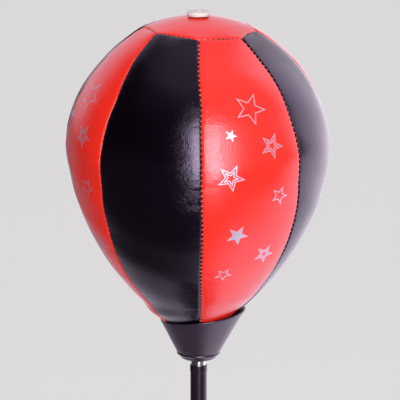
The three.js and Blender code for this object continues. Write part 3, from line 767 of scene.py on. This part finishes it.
flank_handle = neck_top + FLANK_PULL * np.array((math.sin(FLANK_SLOPE), math.cos(FLANK_SLOPE)))
waist_below = waist - WAIST_PULL * np.array((math.sin(KNUCKLE), math.cos(KNUCKLE)))
waist_above = waist + (0, SHOULDER_PULL)
shoulder_handle = cap_corner + CORNER_PULL * np.array((math.cos(SHOULDER_SLOPE), -math.sin(SHOULDER_SLOPE)))
meridian = np.vstack([
    np.linspace(neck_end, neck_top, 40)[:-1],
    bent(neck_top, flank_handle, waist_below, waist)[:-1],
    bent(waist, waist_above, shoulder_handle, cap_corner)[:-1],
    bent(cap_corner, (cap_corner[0] / 2, cap_middle[1] - CAP_FLATNESS), cap_middle, count=60),
])
steps = np.linalg.norm(np.diff(meridian, axis=0), axis=1)
meridian_length = np.concatenate([[0], np.cumsum(steps)])
even_lengths = np.arange(0, meridian_length[-1], MERIDIAN_STEP)
even_r = np.interp(even_lengths, meridian_length, meridian[:, 0])
even_z = np.interp(even_lengths, meridian_length, meridian[:, 1])
soft = np.hanning(13) / np.hanning(13).sum()
for line in (even_r, even_z):
    line[6:-6] = np.convolve(line, soft, "valid")
slope_r = np.gradient(even_r, even_lengths)
slope_z = np.gradient(even_z, even_lengths)
corner_at = np.interp(cap_corner[1], even_z, even_lengths)


def radius_at(s):
    return np.interp(s, even_lengths, even_r)


def height_at(s):
    return np.interp(s, even_lengths, even_z)


def outward_at(s):
    """The meridian's outward direction, as radius and height."""
    return np.interp(s, even_lengths, slope_z), -np.interp(s, even_lengths, slope_r)


def ripple(seed, waves, shortest, longest):
    """A smooth uneven line as a sum of seeded waves, between about -1 and 1."""
    draw = np.random.default_rng(seed)
    lengths = draw.uniform(shortest, longest, waves)
    phases = draw.uniform(0, 2 * math.pi, waves)
    return lambda s: sum(np.sin(2 * math.pi * s / w + p) for w, p in zip(lengths, phases)) / math.sqrt(waves)


LEAN_HEIGHTS = (
    0.0, 0.011, 0.03, 0.047, 0.066, 0.089, 0.113, 0.137, 0.161, 0.185, 0.209, 0.232, 0.256, 0.268, 0.28
)
LEAN_SHIFTS = (-0.3, -0.7, -1.1, -1.3, -1.1, -0.5, -0.1, -0.4, -0.7, -0.7, -0.8, 0.0, 0.1, 1.2, 1.4)


def lean(z):
    """How far the stuffed cover's middle wanders to one side with height."""
    return np.interp(z - cup_rim, LEAN_HEIGHTS, LEAN_SHIFTS) / 1000


TURN_HEIGHTS, TURN_DEGREES = (0, 0.06, 0.14, 0.225, 0.279), (3.2, 2.0, 1.5, 1.4, -1.7)
SPREAD_HEIGHTS, SPREAD_DEGREES = (0, 0.04, 0.085, 0.145, 0.225, 0.279), (15, 12.6, 8.5, 3.9, 1.8, 4.0)


def bearing_of(turn, z):
    """Where the cover lies: sewn with a slight twist, and stretched wider on its front and back."""
    twist = np.interp(z - cup_rim, TURN_HEIGHTS, TURN_DEGREES)
    spread = np.interp(z - cup_rim, SPREAD_HEIGHTS, SPREAD_DEGREES)
    return turn + np.radians(twist + spread * np.sin(2 * (turn - SEAM_TURN)))


def share(turn):
    """How far the surface is drawn in towards the seams, as a share of the radius."""
    panel = (turn - SEAM_TURN) / PANEL_ANGLE
    from_middle = 2 * np.abs(panel - np.floor(panel) - 0.5)
    return 1 - PILLOW * from_middle ** 3


RIM_GAP = 0.0006
PRESSED = 0.024
OVERHANG, OVERHANG_UP, OVERHANG_SPAN = 0.003, 0.009, 0.007


def seated(bearing, r, z):
    """Presses the neck to the funnel's leaning rim."""
    rise = math.tan(RIM_LEAN) * CUP_RIM * np.cos(bearing)
    rim_r = CUP_RIM - CUP_WALL - RIM_GAP + rise * cup_flare
    rim_z = cup_rim + rise
    free_r = np.interp(rim_z, even_z, even_r)
    push = np.clip(1 - (z - rim_z) / PRESSED, 0, 1)
    swell = np.exp(-((z - rim_z - OVERHANG_UP) / OVERHANG_SPAN) ** 2)
    overhang = OVERHANG * np.clip(-np.cos(bearing), 0, 1) * swell
    return r + overhang + (rim_r - free_r) * eased(push)


CAP_FADE = 0.03
PEAK_SPAN = 0.009


def cover_point(turn, s, depth=0.0):
    """A point of the ball's surface at a bearing and a length along the meridian, sunk by a depth."""
    out_r, out_z = outward_at(s)
    z = height_at(s)
    bearing = bearing_of(turn, z)
    r = seated(bearing, radius_at(s) * share(turn), z) - depth * out_r
    z = z - depth * out_z
    top = np.clip((z - (cap_corner[1] - CAP_FADE)) / CAP_FADE, 0, 1)
    x, y = r * np.cos(bearing) + lean(z), r * np.sin(bearing)
    warp = CAP_SADDLE * x * y / CAP_CORNER ** 2 - x * math.tan(CAP_TILT)
    peak = CORNER_PEAK * np.cos(PANELS * (turn - SEAM_TURN)) * np.exp(-((r - CAP_CORNER) / PEAK_SPAN) ** 2)
    return np.stack([x, y, z + (warp + peak) * eased(top)], axis=-1)


cap_outer = CAP_CORNER * (1 - PILLOW)
cap_inner = cap_outer * math.cos(PANEL_ANGLE / 2)
cap_pitch = 2 * cap_outer * math.sin(PANEL_ANGLE / 2) / CAP_STITCHES


def edge_reach(turn):
    """The plan radius of the top panel's straight edges, and the place along the edge."""
    panel = (turn - SEAM_TURN) / PANEL_ANGLE
    off = (panel - np.floor(panel) - 0.5) * PANEL_ANGLE
    return cap_inner / np.cos(off), cap_inner * np.tan(off)


SHOULDER_SPAN = 0.08


def length_at_reach(turn, reach):
    """How far along the meridian the surface has come in to a plan radius, above the waist."""
    upper = even_lengths > corner_at - SHOULDER_SPAN
    return np.interp(-reach / share(turn), -even_r[upper], even_lengths[upper])


def rolled(distance, radius):
    """The depth of a turned-in edge at a distance from its fold."""
    inside = np.clip(radius - distance, 0, radius)
    return radius - np.sqrt(radius ** 2 - inside ** 2)


def pulled(s, pitch=STITCH):
    """1 at each stitch and 0 halfway between two."""
    return 0.5 + 0.5 * np.cos(2 * math.pi * s / pitch)


def cap_scallop(turn):
    return SCALLOP * (1 - pulled(edge_reach(turn)[1], cap_pitch))


PUCKER, PUCKER_REACH, PUCKER_START = 0.00009, 0.009, 0.0015


def puckered(distance, lines):
    """Small creases that run away from a seam and die out in the panel."""
    return PUCKER * lines * np.exp(-distance / PUCKER_REACH) * (1 - np.exp(-distance / PUCKER_START))


def walled(panel):
    """Gives a sheet of the cover the leather's thickness, inwards."""
    wall = panel.modifiers.new("leather", "SOLIDIFY")
    wall.thickness = LEATHER
    wall.offset = -1
    return panel


def leather(name, color, sheen):
    """Glossy coated cloth: a fine pressed grain, soft crinkles and a clear coat."""
    made = Finish(name, name, color, 0.24, Specular_IOR_Level=0.75, Coat_Weight=0.15, Coat_Roughness=0.06)
    made.shader["Specular Tint"].default_value = (*sheen, 1.0)
    cells = {"Vector": made.place, "Scale": 1050.0}
    pores = made.node("ShaderNodeTexVoronoi", {"feature": "SMOOTH_F1"}, cells)
    made.gloss = 0.13 + 0.1 * made.grain(260, 3)
    made.rough(made.gloss)
    made.bumped(1.0 * pores + 0.8 * made.grain(520, 4) + 0.9 * made.grain(70, 3), 0.00018)
    return made


RED, RED_SHEEN = (0.9, 0.024, 0.012), (0.9, 0.8, 1.0)
BLACK, BLACK_SHEEN = (0.0022, 0.0008, 0.003), (0.84, 0.66, 1.0)
red_leather = leather("red_leather", RED, RED_SHEEN)
black_leather = leather("black_leather", BLACK, BLACK_SHEEN)

# The silver prints on each red panel: places on the cut panel in millimetres, radius and kind.
STARS = (
    (1.5, 279.6, 16.3, "outline"),
    (-22.6, 255.7, 6.1, "solid"),
    (16.7, 242.6, 12.7, "nested"),
    (-26.9, 216.0, 13.9, "nested"),
    (23.4, 193.4, 9.8, "outline"),
    (-20.2, 155.6, 11.1, "solid"),
    (12.6, 128.9, 11.5, "nested"),
    (-25.7, 107.3, 8.8, "outline"),
)
STAR_TURN = math.radians(-9)
STAR_LINE = 0.00095
STAR_WAIST = 0.42
STAR_INSET = 0.52
FOIL = (0.66, 0.56, 0.68)


def parts_of(graph, vector):
    """The x, y and z of a vector."""
    split = graph.node("ShaderNodeSeparateXYZ", {}, {0: vector})
    return [Wire(graph, part) for part in split.socket.node.outputs]


def printed_stars(finish):
    """1 inside the lines of the printed stars and 0 outside, from the place on the cut panel."""
    place = finish.node("ShaderNodeUVMap", {"uv_map": "cut_panel"}, {})
    point = STAR_WAIST * math.cos(math.pi / 5), STAR_WAIST * math.sin(math.pi / 5)
    side = math.hypot(point[0] - 1, point[1])
    normal = point[1] / side, (1 - point[0]) / side
    mask = 0.0
    for x, y, radius, kind in STARS:
        centre = (x / 1000, y / 1000, 0.0)
        here = finish.node("ShaderNodeVectorMath", {"operation": "SUBTRACT"}, {0: place, 1: centre})
        reach = finish.node("ShaderNodeVectorMath", {"operation": "LENGTH"}, {0: here}, output="Value")
        across, along, _ = parts_of(finish, here)
        bearing = along.math("ARCTAN2", across) + (math.pi / 5 - STAR_TURN)
        folded = abs(bearing.math("FLOORED_MODULO", 2 * math.pi / 5) - math.pi / 5)
        outside = reach * (folded.math("COSINE") * normal[0] + folded.math("SINE") * normal[1])
        outside = outside - normal[0] * radius / 1000
        if kind == "solid":
            mask = outside.math("LESS_THAN", 0.0) + mask
            continue
        mask = outside.math("COMPARE", -STAR_LINE / 2, STAR_LINE / 2) + mask
        if kind == "nested":
            inset = -STAR_INSET * normal[0] * radius / 1000
            mask = outside.math("COMPARE", inset, STAR_LINE / 2) + mask
    return mask


foil = printed_stars(red_leather)
red_leather.tinted(foil, FOIL)
red_leather.feed(red_leather.shader["Metallic"], 0.75 * foil)
red_leather.rough(red_leather.gloss + 0.22 * foil)

# Each panel is a grid of rows up the meridian and columns that crowd towards its two seams.
NARROW = 0.009
CROWDING = 1.25
EVENED = 0.04
ROWS_STOP = 0.002
DEEPEST = 1.4
DIMPLE, DIMPLE_REACH = 0.0002, 0.002
FULLNESS = 0.0003
rows = np.arange(0, corner_at - ROWS_STOP, ROW)
base = np.concatenate([rows, np.full(len(EDGE_COLUMNS) - 1, rows[-1])])[:, None]
below_top = np.concatenate([np.full(len(rows), EDGE_COLUMNS[-1]), EDGE_COLUMNS[-2::-1]])[:, None]
radius = radius_at(base)
half_width = radius * PANEL_ANGLE / 2
fixed = EDGE_COLUMNS * np.minimum(1, half_width / NARROW)
rest = fixed[:, -1:] + (half_width - fixed[:, -1:]) * np.linspace(0, 1, MIDDLE_COLUMNS + 1)[1:] ** CROWDING
scallop = EDGE_GAP + SCALLOP * (1 - pulled(base))
from_seam = np.hstack([fixed + scallop * (1 - fixed / fixed[:, -1:]), rest])
to_side = np.hstack([from_seam, from_seam[:, -2::-1]])
across = np.hstack([from_seam - half_width, (half_width - from_seam)[:, -2::-1]])
climb = np.clip((base - (rows[-1] - EVENED)) / EVENED, 0, 1) ** 2

for k in range(PANELS):
    name = ("red", "black")[k % 2] + f"_{k // 2 + 1}"
    turn = SEAM_TURN + (k + 0.5) * PANEL_ANGLE + across / radius
    top = length_at_reach(turn, edge_reach(turn)[0]) - EDGE_GAP - cap_scallop(turn)
    along = base + (top - below_top - rows[-1]) * climb
    roll = BLACK_ROLL if k % 2 else RED_ROLL
    depth = np.minimum(np.hypot(rolled(to_side - scallop, roll), rolled(top - along, roll)), DEEPEST * roll)
    depth += DIMPLE * pulled(base) * np.exp(-to_side / DIMPLE_REACH)
    for side in (-1, 1):
        lines = ripple(100 + 2 * k + side, 9, 0.005, 0.019)(along)
        depth += np.where(across * side > 0, puckered(to_side, lines), 0)
    depth += puckered(top - along, ripple(400 + k, 7, 0.006, 0.02)(across))
    depth += FULLNESS * ripple(300 + k, 6, 0.03, 0.11)(along + 0.5 * across)
    depth[:, [0, -1]] = TURN_IN
    depth[-1] = TURN_IN
    points = cover_point(turn, along, depth).reshape(-1, 3)
    seen_turn = bearing_of(turn, height_at(along))
    flat_across = (seen_turn - seen_turn[:, across.shape[1] // 2, None]) * radius
    flat = np.stack([flat_across, along], axis=-1).reshape(-1, 2)
    finish = black_leather if k % 2 else red_leather
    grid = faces_of(*turn.shape).tolist()
    walled(piece(f"side_{name}", points, grid, finish, "upper_pole", f"panel_{name}", sharp=70, flat=flat))

# ---- Ball cover: top panel ----
# An eight-sided panel of the red leather with a hole for the valve. It is domed a little by the bladder, and
# its turned-in edges are sewn to the side panels' upper ends.
VALVE_HOLE = 0.005
TO_MIDDLE = 0.04
edge_steps = np.arange(PANELS * CAP_STITCHES * 4) / (CAP_STITCHES * 4)
panel_part = edge_steps - np.floor(edge_steps)
even_chord = (panel_part - 0.5) * 2 * math.tan(PANEL_ANGLE / 2)
turn = SEAM_TURN + (np.floor(edge_steps) + 0.5) * PANEL_ANGLE + np.arctan(even_chord)
reach, spot = edge_reach(turn)
turned_in = np.cos(np.arctan(even_chord))
border = EDGE_COLUMNS[-1]
inwards = np.concatenate([EDGE_COLUMNS, np.linspace(border, TO_MIDDLE, 20)[1:]])[:, None]
to_hole = (reach - VALVE_HOLE) * turned_in
scale = np.where(inwards > border, (to_hole - border) / (TO_MIDDLE - border), 1)
from_edge = np.where(inwards > border, border + (inwards - border) * scale, inwards)
gap = (EDGE_GAP + cap_scallop(turn)) * (1 - np.minimum(1, inwards / border))
plan = reach - (from_edge + gap) / turned_in
turns = np.broadcast_to(turn, plan.shape)
along = length_at_reach(turns, plan)
depth = rolled(from_edge, RED_ROLL) + DIMPLE * pulled(spot, cap_pitch) * np.exp(-from_edge / DIMPLE_REACH)
depth += puckered(from_edge, ripple(500, 9, 0.006, 0.02)(spot + 0.05 * np.floor(edge_steps)))
depth[0] = TURN_IN
points = cover_point(turns, along, depth).reshape(-1, 3)
cap_red = leather("red_top_leather", RED, RED_SHEEN)
cap_red.slot = "red_leather"
grid = faces_of(*plan.shape, wrap=True).tolist()
walled(piece("top_panel_cover", points, grid, cap_red, "upper_pole", "top_panel", sharp=70))

# ---- Seam stitches ----
# Thick pale red thread in long stitches that bridge every seam and draw its two folds together. Between two
# stitches the folds part a little and show dark.
thread = Finish("pale_red_thread", "red_leather", (0.7, 0.24, 0.25), 0.6)
thread.bumped(thread.grain(5000, 2), 0.0001)

stitching = Shape("bridging_stitches", Length=0.0032, Thickness=0.0008, Arch=0.0005, Seed=4)
reach_out = 0.5 * stitching.named("Length")
bridge = stitching.node(
    "GeometryNodeCurveQuadraticBezier", {},
    {
        "Resolution": 6,
        "Start": stitching.triple(-1 * reach_out, 0.0, -1 * stitching.named("Arch")),
        "Middle": stitching.triple(0.0, 0.0, stitching.named("Arch")),
        "End": stitching.triple(reach_out, 0.0, -1 * stitching.named("Arch")),
    },
)
strand = {"Resolution": 6, "Radius": 0.5 * stitching.named("Thickness")}
yarn = stitching.node("GeometryNodeCurvePrimitiveCircle", {}, strand)
swept = {"Curve": bridge, "Profile Curve": yarn, "Fill Caps": True}
one_stitch = stitching.node("GeometryNodeCurveToMesh", {}, swept)
stored_way = {"data_type": "FLOAT_VECTOR"}
across_way, outward_way = [
    stitching.node("GeometryNodeInputNamedAttribute", stored_way, {"Name": label}, "Attribute")
    for label in ("across", "outward")
]
lying = stitching.node("FunctionNodeAlignRotationToVector", {"axis": "X"}, {"Vector": across_way})
standing = {"Rotation": lying, "Vector": outward_way}
upright = stitching.node("FunctionNodeAlignRotationToVector", {"axis": "Z", "pivot_axis": "X"}, standing)
ASKEW = 0.14
spread = {2: -ASKEW, 3: ASKEW, "Seed": stitching.named("Seed")}
askew = stitching.node("FunctionNodeRandomValue", {"data_type": "FLOAT"}, spread, 1)
twist = stitching.node("FunctionNodeAxisAngleToRotation", {}, {"Axis": (0.0, 0.0, 1.0), "Angle": askew})
set_down = stitching.node("FunctionNodeRotateRotation", {"rotation_space": "LOCAL"}, {0: upright, 1: twist})
sewn = stitching.node(
    "GeometryNodeInstanceOnPoints", {},
    {"Points": stitching.named("Geometry"), "Instance": one_stitch, "Rotation": set_down},
)
stitching.ends(sewn, thread)


def direction(turn, s):
    """The surface's outward and upward directions at a bearing and a length along the meridian."""
    out_r, out_z = outward_at(s)
    turn = bearing_of(turn, height_at(s))
    outward = np.stack([out_r * np.cos(turn), out_r * np.sin(turn), out_z], axis=-1)
    upward = np.stack([-out_z * np.cos(turn), -out_z * np.sin(turn), out_r], axis=-1)
    return outward, upward


SINK = 0.0007
FIRST_STITCH = 5
STITCHES_STOP = 0.003
spots, across_ways, outward_ways = [], [], []
for k in range(PANELS):
    seam = SEAM_TURN + k * PANEL_ANGLE
    along = np.arange(FIRST_STITCH, int((corner_at - STITCHES_STOP) / STITCH) + 1) * STITCH
    turn = np.full_like(along, seam)
    spots.append(cover_point(turn, along, SINK))
    outward_ways.append(direction(turn, along)[0])
    bearing = bearing_of(turn, height_at(along))
    across_ways.append(np.stack([-np.sin(bearing), np.cos(bearing), 0 * bearing], axis=-1))
    spot = (np.arange(CAP_STITCHES) - (CAP_STITCHES - 1) / 2) * cap_pitch
    middle_turn = seam + PANEL_ANGLE / 2
    turn = middle_turn + np.arctan(spot / cap_inner)
    along = length_at_reach(turn, np.hypot(cap_inner, spot))
    spots.append(cover_point(turn, along, SINK))
    outward, upward = direction(np.full_like(turn, middle_turn), along)
    outward_ways.append(outward)
    across_ways.append(upward)
seam_points = bpy.data.meshes.new("seam_points")
seam_points.from_pydata(np.concatenate(spots).tolist(), [], [])
for label, ways in (("across", across_ways), ("outward", outward_ways)):
    stored = seam_points.attributes.new(label, "FLOAT_VECTOR", "POINT")
    stored.data.foreach_set("vector", np.concatenate(ways).ravel())
stitching.made("seam_thread", seam_points, "upper_pole", sharp=60)

# ---- Bladder and valve ----
# The rubber bag inside the cover, and the white rubber button that seals it, with a needle hole in a raised
# ring at its middle.
coated("bladder", rubber)
white = Finish("white_rubber", "white_rubber", (0.72, 0.65, 0.65), 0.5)
white.rough(0.42 + 0.2 * white.grain(400)).bumped(white.grain(1600, 3), 0.00008)
valve_low, valve_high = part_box("bladder_valve")
VALVE_RIM = valve_high.x
crown = valve_high.z + 0.0035
turned("valve_button", [
    (0.001, valve_low.z, 0.0002), (0.0088, valve_low.z, 0.0004), (0.0088, valve_low.z + 0.0013, 0.0004),
    (0.0043, valve_low.z + 0.0016, 0.0003), (0.0043, crown - 0.0044, 0.0003),
    (VALVE_RIM - 0.0005, crown - 0.0045, 0.0003), (VALVE_RIM, crown - 0.0024, 0.0008),
    (VALVE_RIM - 0.0014, crown - 0.0006, 0.001), (0.0062, crown - 0.0004, 0.001),
    (0.0054, crown - 0.0011, 0.0005), (0.004, crown - 0.0011, 0.0005), (0.0032, crown - 0.0001, 0.0006),
    (0.0016, crown - 0.0001, 0.0004), (0.001, crown - 0.0012, 0.0003),
], white, "upper_pole", "bladder_valve", closed=True)

# ---- Studio ----
# A plain pale floor and two tall soft lamps, a bright one beside the camera and a fainter one to its right.
# Glossy surfaces mirror these lamps and a pale wall behind and on the right; all else is dark to them. To
# glossy rays the floor shows a painted glow that stands in for its reflection.
PALE = (0.723, 0.716, 0.716)
LAVENDER = (0.72, 0.655, 0.755, 1.0)
floor_finish = Finish("pale_floor", None, PALE, 0.9)
floor_mesh = bpy.data.meshes.new("floor")
floor_mesh.from_pydata([(-30, -30, 0), (30, -30, 0), (30, 30, 0), (-30, 30, 0)], [], [(0, 1, 2, 3)])
floor_mesh.materials.append(floor_finish.material)
placed("floor", floor_mesh)


def ramp(graph, value, low, high):
    kind = {"interpolation_type": "SMOOTHSTEP"}
    return graph.node("ShaderNodeMapRange", kind, {0: value, 1: low, 2: high})


# A painted glow on the floor, of the given strength, that stands in for light the floor reflects.
def painted_floor_glow(strength):
    return floor_finish.node("ShaderNodeEmission", {}, {"Color": LAVENDER, "Strength": strength})


def floor_mix(share, one, other):
    return floor_finish.node("ShaderNodeMixShader", {}, {0: share, 1: one, 2: other})


seen = floor_finish.node("ShaderNodeLightPath", {}, {}, "Is Camera Ray")
pale = floor_finish.node("ShaderNodeEmission", {}, {"Color": (1.12, 1.10, 1.11, 1.0)})
lit = Wire(floor_finish, floor_finish.tree.nodes["Principled BSDF"].outputs[0])
shown = floor_mix(0.5 * seen, lit, pale)
# Painted reflection: to glossy rays the floor glows instead of reflecting, faintly in front and strongly
# behind, brighter towards the right.
side, back, _ = parts_of(floor_finish, floor_finish.place)
behind = back + 0.9 * side.math("MINIMUM", 0.6) - 0.32 * (side - 0.6).math("MAXIMUM", 0.0)
near_floor = floor_mix(ramp(floor_finish, side, -1.1, 0.4), painted_floor_glow(0.35), painted_floor_glow(1.85))
far_floor = floor_mix(ramp(floor_finish, side, 0.8, 2.2), near_floor, painted_floor_glow(2.6))
front_floor = floor_mix(ramp(floor_finish, side, 1.2, 5.0), painted_floor_glow(0.06), painted_floor_glow(0.28))
painted_floor_reflection = floor_mix(ramp(floor_finish, behind, -0.65, 0.25), front_floor, far_floor)
glossy = floor_finish.node("ShaderNodeLightPath", {}, {}, "Is Glossy Ray")
shown = floor_mix(glossy, shown, painted_floor_reflection)
floor_finish.feed(floor_finish.tree.nodes["Material Output"].inputs["Surface"], shown)

AMBIENT = 0.5
world = bpy.data.worlds.new("studio")
world.use_nodes = True
bpy.context.scene.world = world
room = Graph(world.node_tree)
way = room.node("ShaderNodeTexCoord", {}, {}, "Generated")
sideways, backwards, upwards = parts_of(room, way)
backdrop = 1.25 * ramp(room, backwards, 0.4, 0.72)
right_wall = 2.5 * ramp(room, backwards, -0.02, 0.22) * ramp(room, sideways, 0.25, 0.6)
right_front = 0.45 * ramp(room, sideways, 0.1, 0.45)
overhead = 0.5 * ramp(room, upwards, 0.7, 1.0)
mirrored = backdrop.math("MAXIMUM", right_wall).math("MAXIMUM", right_front).math("MAXIMUM", overhead) + 0.005
path = [room.node("ShaderNodeLightPath", {}, {}, kind) for kind in ("Is Camera Ray", "Is Glossy Ray")]
strength = path[0] + (1 - path[0]) * (path[1] * mirrored + (1 - path[1]) * AMBIENT)
background = world.node_tree.nodes["Background"].inputs
tone = {0: path[1], 6: (*PALE, 1.0), 7: LAVENDER}
room.feed(background["Color"], room.node("ShaderNodeMix", {"data_type": "RGBA"}, tone, output=2))
room.feed(background["Strength"], strength)


def lamp(name, place, target, width, height, radiance, mirrored=True):
    """A soft box. Its power follows from its size and how bright its face is."""
    light = bpy.data.lights.new(name, "AREA")
    light.shape = "RECTANGLE"
    light.size, light.size_y = width, height
    light.energy = radiance * math.pi * width * height
    made = placed(name, light)
    made.location = place
    made.rotation_euler = (Vector(target) - Vector(place)).to_track_quat("-Z", "Y").to_euler()
    made.visible_camera = False
    made.visible_glossy = mirrored


lamp("tall_soft_box", (0.15, -1.0, 1.05), (0.15, 0, 1.05), 0.27, 1.13, 9.7)
lamp("half_shaded_soft_box", (0.44, -1.0, 1.13), (0.44, 0, 1.13), 0.32, 0.94, 2.8)
lamp("left_fill", (-2.6, -1.2, 1.6), (0, 0, equator), 1.6, 1.6, 1.2, mirrored=False)
lamp("overhead_box", (0.2, -0.3, 2.7), (0, 0, equator), 1.4, 1.4, 1.9, mirrored=False)

# ---- Camera ----
# A long lens that looks down a little on the ball and stands square to its front. It takes in the ball, the
# funnel and the pole's upper end.
AIM = Vector((0.0014, 0, 0.8643))
CAMERA_TILT = math.radians(14)
CAMERA_REACH = 3.6
camera = placed("camera", bpy.data.cameras.new("camera"))
camera.data.lens = 339.3
camera.data.sensor_width = 36
camera.data.clip_end = 200
camera.location = AIM + CAMERA_REACH * Vector((0, -math.cos(CAMERA_TILT), math.sin(CAMERA_TILT)))
camera.rotation_euler = (math.pi / 2 - CAMERA_TILT, 0, 0)
bpy.context.scene.camera = camera
bpy.context.scene.view_settings.view_transform = "Standard"
